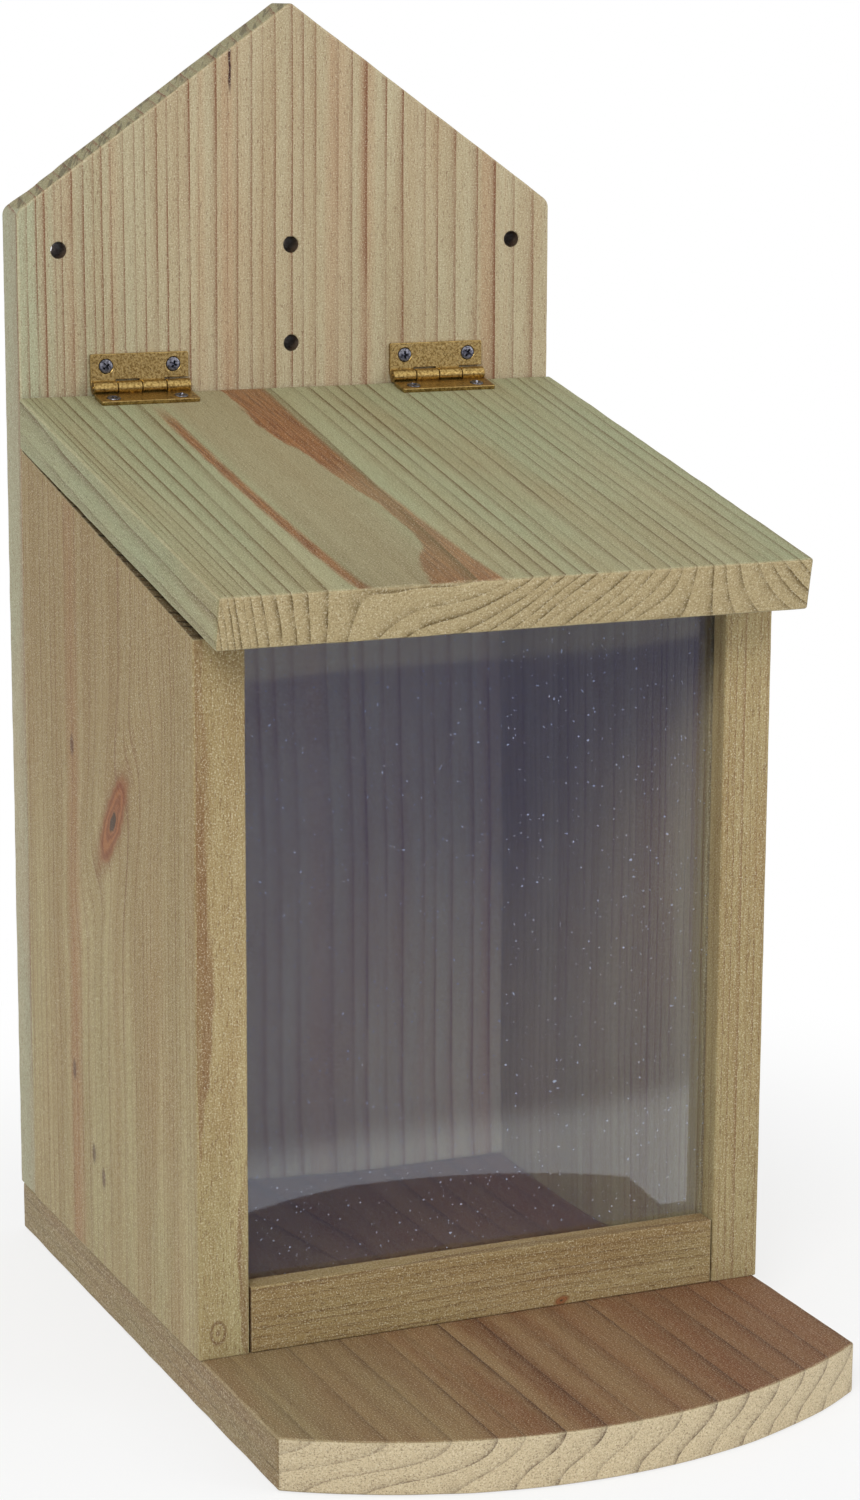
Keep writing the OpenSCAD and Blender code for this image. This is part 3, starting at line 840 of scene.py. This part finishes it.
def make_pane():
    """The clear sheet that stands in the grooves of the side panels."""
    points = [(pane_low.x, pane_low.y), (pane_high.x, pane_low.y), (pane_high.x, pane_high.y),
              (pane_low.x, pane_high.y)]
    height = pane_high.z - pane_low.z
    pane = slab("window_pane_sheet", points, height, lambda u, v, w: (u, v, pane_low.z + w),
                arris=0.08 * MM, corner=0.12 * MM, wave=0, step=40 * MM, level_step=60 * MM)
    settle(pane, "box", "clear_plastic", clear_plastic(), "window_pane")


# ---------------------------------------------------------------- hinges and fasteners

HINGE_LENGTH = 25 * MM
LEAF_HEIGHT = 8.1 * MM
LEAF_THICKNESS = 1.0 * MM
LEAF_SEAT = 1.88 * MM  # from the pin to the back of a leaf
KNUCKLES = 4
KNUCKLE_RADIUS = 1.6 * MM
KNUCKLE_GAP = 0.2 * MM
BORE_RADIUS = 0.8 * MM
PLATE_START = 1.9 * MM
SCREW_SPACING = 17.2 * MM
SCREW_HEIGHT = 5.1 * MM
SCREW_HOLE_RADIUS = 1.7 * MM
SCREW_HEAD_RADIUS = 1.68 * MM
SCREW_HEAD_RISE = 0.28 * MM


def leaf_place(side, leaf):
    """From a hinge's own axes (x along the pin, y out of the board's back, z to the leaf's free edge)."""
    pin_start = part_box(f"hinge_{side}_pin")[0].x
    base = Matrix.Translation(Vector((pin_start, pin_centre.y, pin_centre.z)))
    if leaf == "lid":
        turn = Matrix.Rotation(math.pi / 2 + lid_slope, 4, "X")
        base = base @ turn @ Matrix.Scale(-1, 4, Vector((0, 1, 0)))
    return base


def make_leaf(side, leaf, body, brass):
    """A hinge leaf: a punched plate with tabs, and its own knuckles rolled round the pin."""
    place = leaf_place(side, leaf)
    first = 0 if leaf == "board" else 1
    width = HINGE_LENGTH / KNUCKLES
    gap = KNUCKLE_GAP / 2
    points = [(HINGE_LENGTH, LEAF_HEIGHT, 0.5 * MM), (0, LEAF_HEIGHT, 0.5 * MM)]
    for k in range(KNUCKLES):
        start = k * width + (gap if k else 0)
        end = (k + 1) * width - (gap if k < KNUCKLES - 1 else 0)
        bottom = 0.3 * MM if k % 2 == first else PLATE_START
        points += [(start, bottom), (end, bottom)]
    tidy = []
    for p in points:
        if not tidy or (Vector(p[:2]) - Vector(tidy[-1][:2])).length > 0.05 * MM:
            tidy.append(p)
    holes = [(HINGE_LENGTH / 2 + s * SCREW_SPACING / 2, SCREW_HEIGHT, SCREW_HOLE_RADIUS, "through", 0)
             for s in (-1, 1)]

    def to_leaf(u, v, w):
        return place @ Vector((u, LEAF_SEAT - w, v))

    piece = slab(f"hinge_{side}_{leaf}_leaf_plate", tidy, LEAF_THICKNESS, to_leaf, arris=0.12 * MM,
                 corner=0.1 * MM, wave=0.02 * MM, step=1.5 * MM, level_step=0.5 * MM, holes=holes)
    bm = bmesh.new()
    bm.from_mesh(piece.data)
    soft = 0.15 * MM
    for k in range(first, KNUCKLES, 2):
        low, high = k * width + gap, (k + 1) * width - gap
        profile = [(BORE_RADIUS, low), (KNUCKLE_RADIUS - soft, low), (KNUCKLE_RADIUS, low + soft),
                   (KNUCKLE_RADIUS, (low + high) / 2), (KNUCKLE_RADIUS, high - soft),
                   (KNUCKLE_RADIUS - soft, high), (BORE_RADIUS, high), (BORE_RADIUS, low)]
        lathe(bm, profile, lambda p: place @ Vector((p.z, p.x, p.y)))
    bmesh.ops.remove_doubles(bm, verts=bm.verts, dist=0.001 * MM)
    bmesh.ops.recalc_face_normals(bm, faces=bm.faces)
    bm.to_mesh(piece.data)
    bm.free()
    settle(piece, body, "aged_brass", brass, f"hinge_{side}_{leaf}_leaf")


def make_screw(name, place, radius, rise, cross, body, slot, material):
    """A screw's head, domed by rise, over a short shank. The tapered cross cut into it reaches out
    to the share cross of the radius."""
    bm = bmesh.new()
    shank = radius * 0.55
    deep = radius - shank
    dome = [(radius * math.sin(t), rise * math.cos(t) ** 0.8) for t in
            [math.pi / 2 * k / 6 for k in range(6)]]
    profile = [(0, -deep - 2 * MM), (shank * 0.9, -deep - 2 * MM), (shank, -deep - 1.8 * MM),
               (shank, -deep), (radius * 0.97, -0.05 * MM), (radius, 0)] + dome[:0:-1] + [(0, rise)]
    lathe(bm, profile, lambda p: p, 40)
    bmesh.ops.recalc_face_normals(bm, faces=bm.faces)
    head = finish_mesh(bm, name)
    cutter_bm = bmesh.new()
    depth = radius * 0.6
    for turn in (0, math.pi / 2):
        made = bmesh.ops.create_cube(cutter_bm, size=1)["verts"]
        for vert in made:
            top = vert.co.z > 0
            x = vert.co.x * 2 * radius * (cross if top else cross * 0.45)
            y = vert.co.y * radius * (0.34 if top else 0.18)
            z = rise + 0.1 * MM if top else rise - depth
            vert.co = Matrix.Rotation(turn, 3, "Z") @ Vector((x, y, z))
    cutter = finish_mesh(cutter_bm, name + "_cutter")
    cut_out(head, cutter)
    head.data.transform(place)
    for face in head.data.polygons:
        face.use_smooth = True
    head.data.set_sharp_from_angle(angle=math.radians(35))
    settle(head, body, slot, material, name.removesuffix("_head"))


def cut_out(piece, cutter):
    """Cuts one mesh out of another and keeps the result as plain mesh data."""
    modifier = piece.modifiers.new("cut", "BOOLEAN")
    modifier.operation = "DIFFERENCE"
    modifier.solver = "EXACT"
    modifier.use_self = True
    modifier.object = cutter
    bpy.context.view_layer.update()
    result = bpy.data.meshes.new_from_object(piece.evaluated_get(bpy.context.evaluated_depsgraph_get()))
    piece.modifiers.clear()
    piece.data = result
    bpy.data.objects.remove(cutter)


def make_hinges():
    """Two hinges, each with two leaves, four screws and the pin of the CAD model."""
    brass = metal("antique_brass", srgb(190, 162, 102), srgb(124, 98, 52), srgb(40, 29, 15), 0.26, 0.7)
    dark = metal("blackened_steel", srgb(132, 132, 140), srgb(60, 60, 68), srgb(18, 18, 22), 0.36, 0.6)
    for side in ("left", "right"):
        outward = -1 if side == "left" else 1
        for leaf, body in (("board", "box"), ("lid", "lid")):
            make_leaf(side, leaf, body, brass)
            for number, screw in ((1, "outer"), (-1, "inner")):
                x = HINGE_LENGTH / 2 + outward * number * SCREW_SPACING / 2
                spot = leaf_place(side, leaf) @ Vector((x, LEAF_SEAT - LEAF_THICKNESS, SCREW_HEIGHT))
                out = (leaf_place(side, leaf).to_3x3() @ Vector((0, -1, 0))).normalized()
                turn = out.to_track_quat("Z", "Y").to_matrix().to_4x4()
                spin = Matrix.Rotation(math.radians(18 + 31 * number + 13 * outward), 4, "Z")
                place = Matrix.Translation(spot) @ turn @ spin
                make_screw(f"hinge_{side}_{leaf}_screw_{screw}_head", place, SCREW_HEAD_RADIUS,
                           SCREW_HEAD_RISE, 0.62, body, "dark_screw", dark)
        carry_over(f"hinge_{side}_pin", brass)


def carry_over(node, material):
    """A CAD node that stays as it is, with a better material."""
    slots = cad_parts[node].data.materials
    slots.clear()
    slots.append(material)


def make_wood_screws():
    """The heads that lie just below the back and the underside, and the nails under the rail."""
    zinc = metal("zinc_plate", srgb(196, 194, 184), srgb(150, 148, 140), srgb(96, 92, 84), 0.34, 0.4)
    for node in sorted(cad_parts):
        low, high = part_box(node)
        centre = (low + high) / 2
        if node.startswith("back_screw"):
            place = Matrix.Translation((centre.x, high.y, centre.z)) @ Matrix.Rotation(-math.pi / 2, 4, "X")
        elif node.startswith(("base_screw", "board_foot_screw")):
            place = Matrix.Translation((centre.x, centre.y, low.z)) @ Matrix.Rotation(math.pi, 4, "X")
        elif node.startswith("rail_nail"):
            carry_over(node, zinc)
            continue
        else:
            continue
        radius = min(high.x - low.x, high.z - low.z, high.y - low.y) / 2
        turn = Matrix.Rotation(centre.x * 400 + centre.z * 900 + centre.y * 700, 4, "Z")
        make_screw(node + "_head", place @ turn, radius, 0.0001 * MM, 0.55, "box", "zinc_screw", zinc)


# ---------------------------------------------------------------- stage and light

REFLECTION_TABLE_FRONT = -0.146  # for glossy rays the floor glows as a painted reflection of a white table that ends here, and a dim blue room beyond
REFLECTION_ROOM_FADE = -0.19


def make_stage():
    """A pale floor that fades into the white background away from the object's shadow. For glossy rays it
    glows instead, as a painted reflection: a bright white table near the box and a dim blue room beyond.
    """
    t = Tree("pale_floor_painted_reflection")
    spot = t.node("TexCoord", {}).outputs["Object"]
    y = t.dot(spot, (0, 1, 0))
    path = t.node("LightPath", {})
    surface = t.node("BsdfDiffuse", {"Color": srgb(244, 244, 242)}).outputs[0]
    # Painted reflection: glossy rays see the floor glow, brighter than white up to the table's front and dim
    # blue further out.
    dim = t.step(y, REFLECTION_TABLE_FRONT, REFLECTION_ROOM_FADE)
    painted_reflection_colour = t.mix(dim, (2.2, 2.35, 2.6, 1), (0.33, 0.37, 0.7, 1))
    painted_reflection = t.node("Emission", {"Color": painted_reflection_colour, "Strength": 1.0}).outputs[0]
    surface = t.node("MixShader", {0: path.outputs["Is Glossy Ray"], 1: surface, 2: painted_reflection}).outputs[0]
    white = t.node("Emission", {"Color": (1, 1, 1, 1), "Strength": 1.0}).outputs[0]
    far = t.node("VectorMath", {0: spot}, operation="LENGTH").outputs["Value"]
    share = t.mul(path.outputs["Is Camera Ray"], t.add(0.7, t.mul(t.step(far, 0.12, 0.3), 0.3)))
    surface = t.node("MixShader", {0: share, 1: surface, 2: white}).outputs[0]
    floor_mesh = bpy.data.meshes.new("floor")
    size = 3.0
    floor_mesh.from_pydata([(-size, -size, 0), (size, -size, 0), (size, size, 0), (-size, size, 0)], [],
                           [(0, 1, 2, 3)])
    floor = bpy.data.objects.new("floor", floor_mesh)
    floor.location.z = -0.2 * MM
    floor_mesh.materials.append(t.finish(surface))
    bpy.context.scene.collection.objects.link(floor)


def make_world():
    """Soft light from all round, with its own shade for each kind of ray."""
    world = bpy.data.worlds.new("studio")
    world.use_nodes = True
    nodes, links = world.node_tree.nodes, world.node_tree.links
    nodes.clear()
    path = nodes.new("ShaderNodeLightPath")
    strengths = {"Is Camera Ray": (1.0, 1.0, 1.0), "Is Glossy Ray": (1.1, 1.1, 1.1),
                 "Is Transmission Ray": (0.9, 0.92, 0.96)}
    colour = None
    for ray, shade in strengths.items():
        mix = nodes.new("ShaderNodeMix")
        mix.data_type = "RGBA"
        links.new(path.outputs[ray], mix.inputs[0])
        if colour is None:
            mix.inputs[6].default_value = (0.62, 0.63, 0.65, 1)
        else:
            links.new(colour, mix.inputs[6])
        mix.inputs[7].default_value = (*shade, 1)
        colour = mix.outputs[2]
    background = nodes.new("ShaderNodeBackground")
    links.new(colour, background.inputs["Color"])
    output = nodes.new("ShaderNodeOutputWorld")
    links.new(background.outputs[0], output.inputs["Surface"])
    bpy.context.scene.world = world


def add_lamp(name, place, aim, size, power):
    """A round area lamp that points at aim."""
    data = bpy.data.lights.new(name, "AREA")
    data.shape = "DISK"
    data.size = size
    data.energy = power
    lamp = bpy.data.objects.new(name, data)
    lamp.location = place
    lamp.rotation_euler = (Vector(place) - Vector(aim)).to_track_quat("Z", "Y").to_euler()
    bpy.context.scene.collection.objects.link(lamp)


def make_lights():
    """A key lamp from the left front and a weaker one from the right."""
    aim = (0, 0, 0.15)
    add_lamp("key", (-0.9, -1.3, 1.3), aim, 0.8, 16)
    add_lamp("fill", (1.2, -1.1, 0.6), aim, 1.0, 6)


timbers = make_timbers()
make_back_board(timbers)
make_side("side_panel_left", left_low, left_high, pane_low.x - 0.5 * MM, timbers["left"], 3)
make_side("side_panel_right", right_low, right_high, pane_high.x + 0.5 * MM, timbers["right"], 4)
make_base(timbers)
make_rail(timbers)
make_lid(timbers)
make_pane()
make_hinges()
make_wood_screws()
make_stage()
make_world()
make_lights()
add_camera()
bpy.context.scene.view_settings.view_transform = "Standard"
